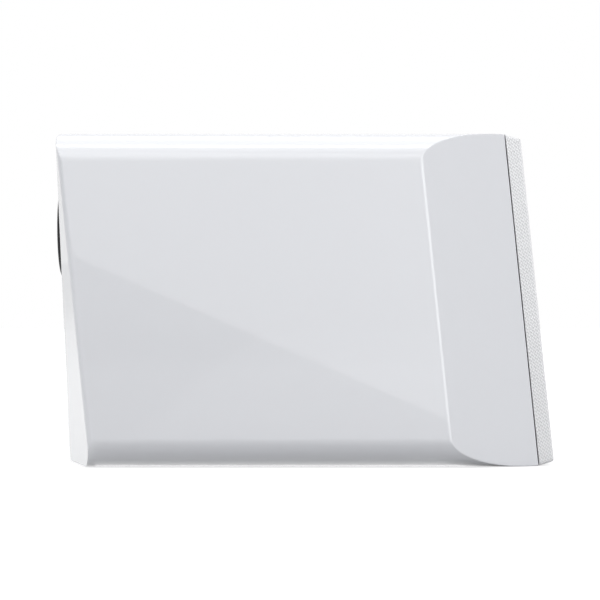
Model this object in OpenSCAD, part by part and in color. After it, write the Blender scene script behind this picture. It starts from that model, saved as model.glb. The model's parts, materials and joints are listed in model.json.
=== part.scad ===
// Center channel loudspeaker: a lacquered cabinet with a leaning front, two woofers, a dome tweeter,
// two rear ports, a recessed terminal cup, a crossover and a cloth grille that pulls off.
// X runs across, the front faces -Y, Z is up. The origin is at the middle of the base.

/* [Cabinet] */
// Width across the two flat sides
cabinet_w = 520; // [510:1:540]
// Height from the base to the top
cabinet_h = 180; // [178:1:190]
// Depth from the front plane to the rear panel at mid height
cabinet_d = 250.3; // [246:0.1:262]
// Radius of the long edges that run from front to back
edge_r = 16; // [10:1:20]
// Angle by which the front leans back
front_lean = 5.9; // [4:0.1:7]
// Angle by which the rear panel leans back
rear_lean = 0.6; // [0:0.1:1]
// How far each front facet brings the front edge in from the side
facet_in = 19.6; // [14:0.1:22]
// How far back along the side each front facet reaches
facet_back = 47; // [40:1:50]
// How far forward along the side each rear facet reaches
rear_facet_d = 9.8; // [7:0.1:14]
// Angle of each rear facet, seen from above
rear_facet = 14.4; // [12:0.1:18]
// Radius of the crease between a side and its front facet
front_crease_r = 6; // [2:0.5:8]
// Radius of the crease between a side and its rear facet
rear_crease_r = 3; // [1:0.5:5]
// Radius of the rim along the top and bottom of the rear panel
rear_rim_r = 3; // [1:0.5:5]
// Thickness of the cabinet walls
wall = 15; // [12:0.5:16]
// Radius in the inner corners of the cabinet
inner_r = 3; // [1:0.5:6]

/* [Baffle and braces] */
// Width of the rim of the cabinet around the baffle
baffle_rim = 11; // [10:0.5:12]
// Thickness of the baffle
baffle_t = 18; // [15:1:20]
// Radius of the corners of the baffle
baffle_r = 4; // [2:0.5:8]
// Width of the ledge that the baffle sits on at each end
baffle_ledge = 4; // [2:0.5:6]
// Distance of each brace from the middle
brace_x = 64; // [62:1:66]
// Thickness of each brace
brace_t = 12; // [10:1:15]
// Width of the web left around the window of a brace
brace_web = 28; // [22:1:34]
// Radius of the corners of a brace window
brace_window_r = 12; // [6:1:16]

/* [Grille] */
// Gap between the cabinet front and the grille
grille_gap = 0.65; // [0.5:0.05:1.5]
// Thickness of the grille
grille_t = 8.4; // [8:0.1:10]
// How far the top edge of the grille is bevelled in
grille_top_bevel = 3.3; // [1:0.1:4]
// How far the bottom edge of the grille is bevelled in
grille_bottom_bevel = 1.5; // [0.5:0.1:4]
// How far each end of the grille is bevelled in
grille_end_bevel = 2.5; // [1:0.1:4]
// Thickness of the grille cloth
cloth_t = 0.5; // [0.4:0.1:1]
// Width of the hem folded behind the grille frame
cloth_hem = 8; // [5:0.5:9]
// Radius of the windows in front of the woofers
woofer_window_r = 70; // [68:0.5:72]
// Radius of the window in front of the tweeter
tweeter_window_r = 54; // [52:0.5:56]
// Distance of the outer pegs from the ends of the baffle
peg_end = 13.4; // [12:0.2:16]
// Distance of the outer pegs from the long edges of the baffle
peg_edge = 15.5; // [14:0.5:17]
// Distance of the middle pegs from the long edges of the baffle
mid_peg_edge = 11.5; // [10.5:0.5:12.5]
// Radius of a peg
peg_r = 2.8; // [2:0.1:3.2]
// How far a peg reaches into its socket
peg_len = 9; // [6:0.5:10]
// Clearance around a peg in its socket
peg_clear = 0.3; // [0.2:0.05:0.5]
// Wall of a peg socket
socket_wall = 1.6; // [1.2:0.1:2]

/* [Woofers] */
// Distance of the middle of each woofer from the end of the baffle
woofer_end = 77.4; // [76:0.2:79]
// Outer radius of the woofer frame
woofer_r = 72; // [70:0.5:73]
// Thickness of the woofer frame's flange
woofer_flange_t = 3.5; // [3:0.1:4.5]
// Thickness of the trim ring on the flange
trim_t = 1.5; // [1.2:0.1:2]
// Outer radius of the basket where it passes through the baffle
basket_r = 61.5; // [60:0.5:62]
// Clearance around the basket in the baffle
basket_clear = 1; // [0.5:0.1:1.5]
// Thickness of the pressed basket
basket_wall = 2.6; // [2:0.1:3]
// Depth from the baffle face to the seat of the magnet
basket_depth = 34; // [33:0.5:36]
// Outer radius of the basket floor
basket_floor_r = 44; // [42:0.5:46]
// Number of windows around the basket
basket_windows = 6; // [4:1:8]
// Angle of each basket window
basket_window_angle = 40; // [30:1:42]
// Outer radius of the cone
cone_r = 49; // [48:0.5:50]
// Depth of the cone from its rim to its neck
cone_depth = 21; // [19:0.5:22]
// Thickness of the cone
cone_t = 1; // [0.8:0.1:1.2]
// Radius of the dust cap
dust_cap_r = 19; // [17:0.5:21]
// Radius of the sphere that the dust cap is part of
dust_cap_sphere = 26; // [24:1:30]
// Radius of the half roll of the surround
roll_r = 4.6; // [4:0.1:5]
// Thickness of the rubber surround
surround_t = 0.7; // [0.6:0.1:1]
// Width of the surround's glued land on the flange
surround_land = 4; // [3:0.5:5]
// Inner radius of the voice coil former
former_r = 12.6; // [12.4:0.1:13]
// Thickness of the voice coil former
former_t = 0.5; // [0.4:0.05:0.7]
// Thickness of the winding on the former
winding_t = 0.8; // [0.5:0.05:1]
// Height of the winding
winding_h = 12; // [10:0.5:14]
// Clearance on each side of the voice coil in the magnet gap
coil_clear = 0.4; // [0.3:0.05:0.6]
// Radius of the spider
spider_r = 38; // [36:0.5:40]
// Thickness of the spider
spider_t = 0.6; // [0.5:0.1:0.8]
// Number of waves in the spider
spider_waves = 5; // [3:1:7]
// Height of the waves in the spider
spider_wave_h = 1.4; // [1:0.1:2]
// Radius of the top plate and of the yoke
plate_r = 41; // [38:0.5:43]
// Thickness of the top plate
plate_t = 6; // [5:0.5:7]
// Radius of the ring magnet
magnet_r = 45; // [43:0.5:47]
// Thickness of the ring magnet
magnet_t = 16; // [12:0.5:18]
// Width of the space between the pole and the ring magnet
magnet_space = 8; // [6:0.5:10]
// Thickness of the yoke
yoke_t = 5; // [4:0.5:6]
// Number of screws in each woofer
woofer_screw_count = 6; // [4:1:8]
// Radius of the circle through the woofer screws
woofer_screw_circle = 67; // [66.5:0.5:67.5]

/* [Tweeter] */
// Radius of the tweeter faceplate
tweeter_r = 50; // [48:0.5:51]
// Thickness of the rim of the faceplate
tweeter_plate_t = 4; // [3:0.5:5]
// Radius of the mouth of the waveguide
guide_r = 40; // [38:0.5:41]
// Radius of the throat of the waveguide
throat_r = 17; // [16.8:0.1:18]
// Depth of the waveguide
guide_depth = 7; // [6:0.5:8]
// Radius of the boss behind the faceplate
tweeter_boss_r = 35; // [34:0.5:36]
// Radius of the dome
dome_r = 12.5; // [12.3:0.1:12.7]
// Radius of the sphere that the dome is part of
dome_sphere = 18; // [16:0.5:20]
// Thickness of the dome
dome_t = 0.5; // [0.4:0.1:0.6]
// Radius of the half roll around the dome
dome_roll_r = 1.6; // [1.4:0.1:1.8]
// Height of the voice coil behind the dome
tweeter_coil_h = 4; // [3.5:0.5:5]
// Clearance on each side of the tweeter coil
tweeter_coil_clear = 0.3; // [0.3:0.05:0.4]
// Radius of the magnet behind the tweeter
tweeter_magnet_r = 32; // [30:0.5:33]
// Thickness of the magnet behind the tweeter
tweeter_magnet_t = 10; // [8:0.5:12]
// Thickness of the tweeter's top plate and yoke
tweeter_steel_t = 3.5; // [3:0.5:4]
// Number of screws in the tweeter
tweeter_screw_count = 4; // [3:1:6]
// Radius of the circle through the tweeter screws
tweeter_screw_circle = 45; // [44.5:0.5:45.5]

/* [Ports] */
// Distance of the middle of each port from the side of the cabinet
port_end = 79.3; // [76:0.1:82]
// Distance of the middle of each port below the top of the cabinet
port_drop = 51.4; // [50:0.1:55]
// Radius of the bore of a port
port_r = 17; // [15:0.5:18]
// Thickness of the tube of a port
port_wall = 2.5; // [2:0.1:3]
// Length of a port from the rear panel into the cabinet
port_len = 100; // [80:1:110]
// Radius of the crest of the port lip
port_crest_r = 23; // [22:0.5:24]
// How far the port lip stands out from the rear panel
port_lip_h = 5; // [4:0.1:6]
// Outer radius of the port lip
port_flange_r = 27.5; // [27.5:0.5:29]
// Radius of the flare inside the lip
port_flare_r = 8; // [7:0.5:9]
// Clearance around a port in the rear panel
port_clear = 0.3; // [0.2:0.05:0.5]

/* [Terminals] */
// Width of the terminal cup's flange
cup_w = 84; // [80:1:90]
// Height of the terminal cup's flange
cup_h = 64; // [60:1:70]
// Width of the flange around the cup
cup_flange = 9; // [8.5:0.5:10]
// Thickness of the flange
cup_flange_t = 3; // [2:0.5:4]
// Wall of the cup
cup_wall = 2.5; // [2:0.5:3]
// Depth of the cup inside
cup_depth = 23; // [22:0.5:26]
// Radius of the corners of the flange
cup_r = 6; // [4:0.5:6.5]
// Radius in the inner corners of the cup
cup_in_r = 5; // [3:0.5:7]
// Thickness of the cup's gasket
gasket_t = 1; // [0.5:0.1:1.5]
// Clearance around the cup in the rear panel
cup_clear = 0.3; // [0.2:0.05:0.5]
// Distance between the two binding posts
post_pitch = 19.05; // [19:0.05:22]
// Radius of a post
post_r = 3.4; // [3.2:0.1:3.6]
// Radius of the banana plug bore in a post
plug_r = 2; // [2:0.05:2.2]
// Depth of the banana plug bore
plug_depth = 16; // [14:0.5:17]
// Length of a post inside the cup
post_len = 20; // [19:0.5:21]
// Length of a post behind the cup
post_tail = 11; // [10:0.5:13]
// Radius of the collar at the foot of a post
collar_r = 6.5; // [6:0.1:7]
// Thickness of the collar
collar_t = 3; // [2:0.5:4]
// Radius of a binding knob
knob_r = 7; // [6.5:0.1:7.5]
// Length of a binding knob
knob_len = 13; // [11:0.5:14]
// Number of grooves around a knob
knob_grooves = 12; // [8:1:16]
// Radius of the grooves around a knob
knob_groove_r = 0.9; // [0.6:0.1:1.1]
// Clearance between a knob and its post
knob_clear = 0.08; // [0.05:0.01:0.1]
// Thickness of a terminal nut
nut_t = 4; // [3:0.5:5]
// Width across the flats of a terminal nut
nut_flats = 10; // [9:0.5:11]

/* [Crossover and damping] */
// Width of the crossover board
board_w = 104; // [96:1:108]
// Depth of the crossover board
board_d = 84; // [80:1:90]
// Thickness of the crossover board
board_t = 1.6; // [1.2:0.1:2.4]
// Height of the spacers under the board
spacer_h = 6; // [4:0.5:10]
// Radius of the spacers under the board
spacer_r = 4; // [3.5:0.5:5]
// Distance of the spacers from the edges of the board
spacer_in = 6; // [6:0.5:8]
// Gap between the board and the rear wall
board_back_gap = 20; // [16:1:26]
// Outer radius of a choke
choke_r = 17; // [14:0.5:18]
// Radius of the hole in a choke
choke_hole_r = 9; // [7:0.5:10]
// Height of a choke
choke_h = 14; // [10:0.5:18]
// Radius of a capacitor
cap_r = 6.5; // [5:0.5:7]
// Length of a capacitor
cap_len = 26; // [20:1:28]
// Distance of a choke from the end of the board
choke_in = 3; // [2:0.5:5]
// Distance of the chokes in front of the middle of the board
choke_shift = 2; // [0:0.5:4]
// Distance between two capacitors
cap_pitch = 15; // [14.5:0.5:16]
// Side of a resistor's square section
resistor_s = 8; // [6:0.5:9]
// Length of a resistor
resistor_len = 22; // [18:1:24]
// Distance of the middle of a resistor from the front edge of the board
resistor_in = 10; // [9:0.5:12]
// Distance of each resistor from the middle of the board
resistor_gap = 2; // [2:0.5:4]
// Gap at each end of a damping pad, to the brace and to the side
pad_gap = 22.5; // [18:0.5:30]
// Gap between a damping pad and the rear wall
pad_rear_gap = 4; // [3:0.5:8]
// Depth of a damping pad
pad_d = 120; // [100:1:124]
// Thickness of a damping pad
pad_t = 20; // [15:1:24]
// Radius of the corners of a damping pad
pad_r = 8; // [4:1:12]
// Radius of a lead
lead_r = 1.2; // [1:0.1:1.5]
// Number of flat sides around a lead
lead_sides = 8; // [6:1:12]
// Distance of the leads from the edges of the crossover board
lead_in = 5; // [4:0.5:8]
// Height that a lead rises from the board before it bends
lead_rise = 17; // [15:0.5:20]
// Height of a lead above the foot of the brace window
lead_pass = 12; // [8:0.5:16]
// Distance of a lead's end below the axis of its driver
lead_drop = 20; // [16:0.5:22]
// Straight length of a lead before its end
lead_straight = 10; // [6:0.5:14]

/* [Screws] */
// Radius of a driver screw
screw_r = 1.9; // [1.8:0.1:2]
// Radius of a driver screw's head
screw_head_r = 3.6; // [3.4:0.1:3.8]
// Length of a driver screw below its head
screw_len = 16; // [12:0.5:16]
// Radius of a small screw
small_screw_r = 1.5; // [1.3:0.1:1.6]
// Radius of a small screw's head
small_head_r = 2.8; // [2.6:0.1:3]
// Thickness of a small screw's head
small_head_t = 1.6; // [1.4:0.1:1.8]
// Length of a small screw below its head
small_screw_len = 11; // [10:0.5:12]
// Clearance of a screw in the piece that it holds
screw_clear = 0.25; // [0.2:0.05:0.4]
// Clearance between pieces that are glued or pressed together
seat_clear = 0.05; // [0.02:0.01:0.1]

/* [Hidden] */
$fn = 96;

// Turn between two facets of a rounded crease
crease_step = 6;
// Slanted front
front_h = cabinet_h / cos(front_lean);
front_half_w = cabinet_w / 2 - facet_in;
side_len = cabinet_d - rear_facet_d;
// Origin: the middle of the overall depth, from the foot of the grille to the lips of the ports
front_reach = (grille_gap + grille_t) * cos(front_lean)
  + (front_h / 2 - grille_bottom_bevel) * sin(front_lean);
port_z = cabinet_h - port_drop;
rear_reach = port_lip_h * cos(rear_lean) + (port_z - cabinet_h / 2 + port_crest_r) * sin(rear_lean);
front_y = (front_reach - rear_reach - cabinet_d) / 2;
rear_y = front_y + cabinet_d;
// Baffle
baffle_w = 2 * (front_half_w - baffle_rim);
baffle_h = front_h - 2 * baffle_rim;
cavity_half_w = cabinet_w / 2 - wall;
woofer_x = baffle_w / 2 - woofer_end;
port_x = cabinet_w / 2 - port_end;
// Depth at which the slanted cheek of the cavity meets its side
cheek_back = facet_back + wall * tan(atan(facet_in / facet_back) / 2);
// Pegs and sockets
peg_x = baffle_w / 2 - peg_end;
peg_rise = baffle_h / 2 - peg_edge;
mid_peg_rise = baffle_h / 2 - mid_peg_edge;
pegs = [
  [-peg_x, -peg_rise], [-peg_x, peg_rise], [0, -mid_peg_rise],
  [0, mid_peg_rise], [peg_x, -peg_rise], [peg_x, peg_rise]];
socket_r = peg_r + peg_clear + socket_wall;
socket_floor_z = -peg_len - peg_r - peg_clear;
socket_depth = -socket_floor_z + socket_wall;
// Woofer, seen along its axis from the baffle face
flange_top = -trim_t;
flange_back = flange_top - woofer_flange_t;
woofer_recess = trim_t + woofer_flange_t;
basket_in_r = basket_r - basket_wall;
collar_z = flange_back - 3;
ledge_z = -basket_depth + basket_wall + 3;
window_base = ledge_z + 3;
window_top = collar_z - 1.5;
floor_top = -basket_depth + basket_wall;
former_out_r = former_r + former_t;
winding_r = former_out_r + winding_t;
pole_r = former_r - coil_clear;
gap_r = winding_r + coil_clear;
cone_rim_z = flange_top - 0.5;
cone_neck_z = cone_rim_z - cone_depth;
roll_mid_r = cone_r + roll_r;
plate_z = -basket_depth - plate_t;
magnet_z = plate_z - magnet_t;
yoke_z = magnet_z - yoke_t;
coil_mid_z = -basket_depth - plate_t / 2;
former_foot_z = coil_mid_z - winding_h / 2;
spider_z = ledge_z + spider_t / 2;
// Tweeter
boss_z = -guide_depth - 3;
dome_base_z = boss_z;
tweeter_plate_z = boss_z - dome_t - tweeter_steel_t;
tweeter_magnet_z = tweeter_plate_z - tweeter_magnet_t;
tweeter_yoke_z = tweeter_magnet_z - tweeter_steel_t;
dome_hole_r = dome_r + 2 * dome_roll_r;
// Port flare
flare_angle = acos(1 - (port_crest_r - port_r) / port_flare_r);
flare_z = port_lip_h - port_flare_r * sin(flare_angle);
// Terminal cup
cup_z = cabinet_h / 2;
cup_in_w = cup_w - 2 * cup_flange;
cup_in_h = cup_h - 2 * cup_flange;
cup_floor_z = -cup_depth;
cup_back_z = cup_floor_z - cup_wall;
post_top_z = cup_floor_z + post_len;
nut_corner_r = nut_flats / 2 / cos(30);
// Crossover board on the cabinet floor
board_z = wall + spacer_h;
board_y = rear_y - wall - board_back_gap - board_d / 2;
board_top = board_z + board_t;
// Depth that the crossover screws bite into the cabinet floor
screw_bite = small_screw_len - board_t - spacer_h;
rear_inner_y = rear_y - wall;
// Damping pads, between the braces and the sides
pad_w = cavity_half_w - brace_x - brace_t / 2 - 2 * pad_gap;
pad_x = (cavity_half_w + brace_x + brace_t / 2) / 2;
pad_rear_y = min(rear_inner_y, front_y + side_len - wall * tan(rear_facet / 2)) - pad_rear_gap;
// Leads
board_front_y = board_y - board_d / 2;
board_rear_y = board_y + board_d / 2;
lead_start_x = board_w / 2 - lead_in;
lead_start_y = board_front_y + choke_r + lead_in;
lead_foot = board_top + lead_r / 3;
post_end_z = cup_back_z - post_tail;

// Helpers for rounded outlines
function unit(v) = v / norm(v);
function half_angle(a, p, b) = acos(unit(a - p) * unit(b - p)) / 2;
function tangent(a, p, b, r) = p + unit(a - p) * r / tan(half_angle(a, p, b));
function round_centre(a, p, b, r) =
  p + unit(unit(a - p) + unit(b - p)) * r / sin(half_angle(a, p, b));
function rear_at(z) = rear_y + (z - cabinet_h / 2) * tan(rear_lean);
function front_point(x, y, z) = [x, front_y + y * sin(front_lean) - z * cos(front_lean),
  cabinet_h / 2 + y * cos(front_lean) + z * sin(front_lean)];
function rear_point(x, z, out) = [x, rear_at(z) + out * cos(rear_lean), z - out * sin(rear_lean)];
function before(i, n) = (i + n - 1) % n;
function after(i, n) = (i + 1) % n;

// Points along the arc that rounds a corner, one for each crease_step of its turn
function arc_points(a, p, b, r) =
  let (
    c = round_centre(a, p, b, r),
    from = tangent(a, p, b, r) - c,
    to = tangent(b, p, a, r) - c,
    turn = 180 - 2 * half_angle(a, p, b),
    steps = ceil(turn / crease_step))
  [for (i = [0:steps]) c
    + (sin(turn * (1 - i / steps)) * from + sin(turn * i / steps) * to) / sin(turn)];

// Convex polygon with each corner rounded by its own radius
module rounded_polygon(points, radii) {
  n = len(points);
  polygon([for (i = [0:n - 1]) each (radii[i] > 0
    ? arc_points(points[before(i, n)], points[i], points[after(i, n)], radii[i])
    : [points[i]])]);
}

module rounded_rect(w, h, r) {
  square([w - 2 * r, h], center = true);
  square([w, h - 2 * r], center = true);
  for (x = [-1, 1], y = [-1, 1])
    translate([x * (w / 2 - r), y * (h / 2 - r)])
      circle(r);
}

module ring(outer_r, inner_r, h) {
  difference() {
    cylinder(h = h, r = outer_r);
    translate([0, 0, -1])
      cylinder(h = h + 2, r = inner_r);
  }
}

// Places a piece on the slanted front: x across, y up the slope, z out of the front
module at_front(x = 0) {
  translate([0, front_y, cabinet_h / 2])
    rotate([-front_lean, 0, 0])
      translate([x, 0, 0])
        rotate([90, 0, 0])
          children();
}

// Places a piece on the rear panel: z out of the panel
module at_rear(x, z) {
  translate([x, rear_at(z), z])
    rotate([-rear_lean - 90, 0, 0])
      children();
}

// Bar with a rounded rectangular section that runs from front to back
module section_bar(w, h, r) {
  translate([0, 0, cabinet_h / 2])
    rotate([90, 0, 0])
      linear_extrude(3 * cabinet_d, center = true)
        rounded_rect(w, h, r);
}

// Prism along the slope of the front, from an outline of width and depth behind the front plane
module plan_prism(points, radii) {
  at_front()
    rotate([90, 0, 0])
      linear_extrude(3 * cabinet_h, center = true)
        rounded_polygon([for (p = points) [p[0], -p[1]]], radii);
}

// Prism across the cabinet that ends at the rear panel, moved in by the given amount
module rear_prism(in, r) {
  rotate([90, 0, 90])
    linear_extrude(cabinet_w + 2, center = true)
      rounded_polygon(
        [[-cabinet_d, in], [rear_at(in) - in, in],
         [rear_at(cabinet_h - in) - in, cabinet_h - in], [-cabinet_d, cabinet_h - in]],
        [0, r, r, 0]);
}

module outer_form() {
  apex = side_len + cabinet_w / 2 * tan(rear_facet);
  intersection() {
    section_bar(cabinet_w, cabinet_h, edge_r);
    plan_prism(
      [[-front_half_w, 0], [front_half_w, 0], [cabinet_w / 2, facet_back], [cabinet_w / 2, side_len],
       [0, apex], [-cabinet_w / 2, side_len], [-cabinet_w / 2, facet_back]],
      [0, 0, front_crease_r, rear_crease_r, 0, rear_crease_r, front_crease_r]);
    rear_prism(0, rear_rim_r);
  }
}

// Space inside the cabinet behind the given depth
module cavity(start) {
  side = side_len - wall * tan(rear_facet / 2);
  apex = side + cavity_half_w * tan(rear_facet);
  half = baffle_w / 2 - baffle_ledge;
  intersection() {
    section_bar(2 * cavity_half_w, cabinet_h - 2 * wall, inner_r);
    plan_prism(
      [[-half, start], [half, start], [half, baffle_t], [cavity_half_w, cheek_back],
       [cavity_half_w, side], [0, apex], [-cavity_half_w, side], [-cavity_half_w, cheek_back],
       [-half, baffle_t]],
      [0, 0, 0, 0, 0, 0, 0, 0, 0]);
    rear_prism(wall, inner_r);
  }
}

module cabinet_shell() {
  color("white")
    difference() {
      outer_form();
      cavity(baffle_t / 2);
      at_front()
        translate([0, 0, -baffle_t])
          linear_extrude(baffle_t + 5)
            rounded_rect(baffle_w, baffle_h, baffle_r);
      for (side = [-1, 1])
        at_rear(side * port_x, port_z)
          translate([0, 0, -2 * wall])
            cylinder(h = 3 * wall, r = port_r + port_wall + port_clear);
      at_rear(0, cup_z) {
        translate([0, 0, -cup_flange_t - gasket_t])
          linear_extrude(wall)
            rounded_rect(cup_w + 2 * cup_clear, cup_h + 2 * cup_clear, cup_r + cup_clear);
        translate([0, 0, -2 * wall])
          linear_extrude(3 * wall)
            rounded_rect(cup_in_w + 2 * cup_wall + 2 * cup_clear,
              cup_in_h + 2 * cup_wall + 2 * cup_clear, cup_in_r + cup_wall + cup_clear);
        cup_screw_places()
          translate([0, 0, -small_screw_len - 1])
            cylinder(h = small_screw_len + 1, r = small_screw_r + seat_clear);
      }
      spacer_places()
        translate([0, 0, wall - screw_bite])
          cylinder(h = screw_bite + 1, r = small_screw_r + seat_clear);
    }
}

module front_baffle() {
  color([0.12, 0.12, 0.13])
    at_front()
      difference() {
        translate([0, 0, -baffle_t])
          linear_extrude(baffle_t)
            rounded_rect(baffle_w, baffle_h, baffle_r);
        for (side = [-1, 1])
          translate([side * woofer_x, 0, 0]) {
            translate([0, 0, -woofer_recess])
              cylinder(h = woofer_recess + 1, r = woofer_r + seat_clear);
            translate([0, 0, -baffle_t - 1])
              cylinder(h = baffle_t + 2, r = basket_r + basket_clear);
            woofer_screw_places()
              translate([0, 0, flange_top - screw_len])
                cylinder(h = screw_len, r = screw_r + seat_clear);
          }
        translate([0, 0, -tweeter_plate_t])
          cylinder(h = tweeter_plate_t + 1, r = tweeter_r + seat_clear);
        translate([0, 0, -baffle_t - 1])
          cylinder(h = baffle_t + 2, r = tweeter_boss_r + basket_clear);
        tweeter_screw_places()
          translate([0, 0, -screw_len])
            cylinder(h = screw_len, r = screw_r + seat_clear);
        for (p = pegs)
          translate([p[0], p[1], -socket_depth])
            cylinder(h = socket_depth + 1, r = socket_r + seat_clear);
      }
}

// Panel across the inside of the cabinet with a rounded window
module brace(x) {
  window_front = front_y + baffle_t + brace_web + cabinet_h / 2 * tan(front_lean);
  window_rear = rear_inner_y - brace_web;
  window_h = cabinet_h - 2 * wall - 2 * brace_web;
  color("burlywood")
    difference() {
      intersection() {
        cavity(baffle_t);
        translate([x - brace_t / 2, -cabinet_d, 0])
          cube([brace_t, 2 * cabinet_d, cabinet_h]);
      }
      translate([x, (window_front + window_rear) / 2, cabinet_h / 2])
        rotate([90, 0, 90])
          linear_extrude(2 * brace_t, center = true)
            rounded_rect(window_rear - window_front, window_h, brace_window_r);
    }
}

module left_brace() brace(-brace_x);

module right_brace() brace(brace_x);

// Wadding that lies on the cabinet floor behind a woofer
module damping_pad(side) {
  color([0.85, 0.85, 0.82])
    translate([side * pad_x, pad_rear_y - pad_d / 2, wall])
      linear_extrude(pad_t)
        rounded_rect(pad_w, pad_d, pad_r);
}

module left_damping_pad() damping_pad(-1);

module right_damping_pad() damping_pad(1);

// Half section of a flared port: radius against distance out of the rear panel
module port_section() {
  difference() {
    union() {
      translate([port_r, -port_len])
        square([port_wall, port_len + port_lip_h / 2]);
      translate([port_r, 0])
        square([port_crest_r - port_r, port_lip_h]);
      intersection() {
        translate([port_crest_r, port_lip_h - (port_flange_r - port_crest_r)])
          circle(port_flange_r - port_crest_r);
        translate([port_crest_r, 0])
          square([port_flange_r - port_crest_r, port_lip_h]);
      }
      translate([port_crest_r - 1, 0])
        square([port_flange_r - port_crest_r + 1, port_lip_h - (port_flange_r - port_crest_r)]);
    }
    difference() {
      translate([port_r - 1, flare_z])
        square([port_crest_r - port_r + 1, port_lip_h - flare_z + 1]);
      translate([port_r + port_flare_r, flare_z])
        circle(port_flare_r);
    }
  }
}

module port(side) {
  color([0.1, 0.1, 0.1])
    at_rear(side * port_x, port_z)
      rotate_extrude()
        port_section();
}

module left_port() port(-1);

module right_port() port(1);

module cup_screw_places() {
  for (x = [-1, 1], y = [-1, 1])
    translate([x * (cup_w - cup_flange) / 2, y * (cup_h - cup_flange) / 2, 0])
      children();
}

module terminal_cup() {
  color([0.08, 0.08, 0.09])
    at_rear(0, cup_z)
      difference() {
        union() {
          translate([0, 0, -cup_flange_t])
            linear_extrude(cup_flange_t)
              rounded_rect(cup_w, cup_h, cup_r);
          translate([0, 0, cup_back_z])
            linear_extrude(-cup_back_z - cup_flange_t + 1)
              rounded_rect(cup_in_w + 2 * cup_wall, cup_in_h + 2 * cup_wall, cup_in_r + cup_wall);
        }
        translate([0, 0, cup_floor_z])
          linear_extrude(cup_depth + 1)
            rounded_rect(cup_in_w, cup_in_h, cup_in_r);
        for (side = [-1, 1])
          translate([side * post_pitch / 2, 0, cup_back_z - 1])
            cylinder(h = cup_wall + 2, r = post_r + seat_clear);
        cup_screw_places() {
          translate([0, 0, -cup_flange_t - 1])
            cylinder(h = cup_flange_t + 2, r = small_screw_r + screw_clear);
          translate([0, 0, -small_head_t])
            cylinder(h = 2 * small_head_t, r = small_head_r + screw_clear);
        }
      }
}

module terminal_gasket() {
  color([0.2, 0.2, 0.2])
    at_rear(0, cup_z)
      translate([0, 0, -cup_flange_t - gasket_t])
        difference() {
          linear_extrude(gasket_t)
            rounded_rect(cup_w, cup_h, cup_r);
          translate([0, 0, -1])
            linear_extrude(gasket_t + 2)
              rounded_rect(cup_in_w + 2 * cup_wall + cup_clear,
                cup_in_h + 2 * cup_wall + cup_clear, cup_in_r + cup_wall + cup_clear / 2);
          cup_screw_places()
            translate([0, 0, -1])
              cylinder(h = gasket_t + 2, r = small_screw_r + screw_clear);
        }
}

// Metal post with a collar on the cup floor and a bore for a banana plug
module post(side) {
  color("gold")
    at_rear(side * post_pitch / 2, cup_z)
      difference() {
        union() {
          translate([0, 0, cup_back_z - post_tail])
            cylinder(h = post_top_z - cup_back_z + post_tail, r = post_r);
          translate([0, 0, cup_floor_z])
            cylinder(h = collar_t, r = collar_r);
        }
        translate([0, 0, post_top_z - plug_depth])
          cylinder(h = plug_depth + 1, r = plug_r);
      }
}

module red_post() post(1);

module black_post() post(-1);

// Binding knob with grooves for the fingers and a bore that turns on its post
module knob(side, shade) {
  color(shade)
    at_rear(side * post_pitch / 2, cup_z)
      translate([0, 0, post_top_z - knob_len - 1])
        difference() {
          cylinder(h = knob_len, r = knob_r);
          translate([0, 0, -1])
            cylinder(h = knob_len + 2, r = post_r + knob_clear);
          for (i = [0:knob_grooves - 1])
            rotate([0, 0, i * 360 / knob_grooves])
              translate([knob_r + knob_groove_r / 3, 0, 2.5])
                cylinder(h = knob_len, r = knob_groove_r);
        }
}

module red_knob() knob(1, "crimson");

module black_knob() knob(-1, [0.05, 0.05, 0.05]);

// Two hexagonal nuts that clamp the posts behind the cup
module terminal_nuts() {
  color("silver")
    for (side = [-1, 1])
      at_rear(side * post_pitch / 2, cup_z)
        translate([0, 0, cup_back_z - nut_t])
          difference() {
            cylinder(h = nut_t, r = nut_corner_r, $fn = 6);
            translate([0, 0, -1])
              cylinder(h = nut_t + 2, r = post_r + seat_clear);
          }
}

// Flat-headed screw with a cross recess, its head's top at z = 0
module screw(r, head_r, head_t, length) {
  difference() {
    union() {
      translate([0, 0, -head_t])
        cylinder(h = head_t, r = head_r);
      translate([0, 0, -head_t - length])
        cylinder(h = length + head_t / 2, r = r);
    }
    for (turn = [0, 90])
      rotate([0, 0, turn])
        translate([-r, -r / 5, -head_t / 2])
          cube([2 * r, 2 * r / 5, head_t]);
  }
}

module terminal_screws() {
  color([0.1, 0.1, 0.1])
    at_rear(0, cup_z)
      cup_screw_places()
        screw(small_screw_r, small_head_r, small_head_t, small_screw_len - small_head_t);
}

module spacer_places() {
  for (x = [-1, 1], y = [-1, 1])
    translate([x * (board_w / 2 - spacer_in), board_y + y * (board_d / 2 - spacer_in), 0])
      children();
}

module crossover_board() {
  color("darkgreen")
    difference() {
      translate([-board_w / 2, board_y - board_d / 2, board_z])
        cube([board_w, board_d, board_t]);
      spacer_places()
        translate([0, 0, board_z - 1])
          cylinder(h = board_t + 2, r = small_screw_r + screw_clear);
    }
}

module crossover_spacers() {
  color("ivory")
    spacer_places()
      translate([0, 0, wall])
        ring(spacer_r, small_screw_r + screw_clear, spacer_h);
}

module crossover_screws() {
  color("silver")
    spacer_places()
      translate([0, 0, board_top + small_head_t])
        screw(small_screw_r, small_head_r, small_head_t, small_screw_len);
}

// Air-cored chokes that stand on the board
module crossover_chokes() {
  color("chocolate")
    for (x = [-1, 1])
      translate([x * (board_w / 2 - choke_r - choke_in), board_y - choke_shift, board_top])
        ring(choke_r, choke_hole_r, choke_h);
}

module crossover_capacitors() {
  color("gold")
    for (i = [-1:1])
      translate([0, board_y + i * cap_pitch, board_top + cap_r])
        rotate([0, 90, 0])
          cylinder(h = cap_len, r = cap_r, center = true);
}

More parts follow.
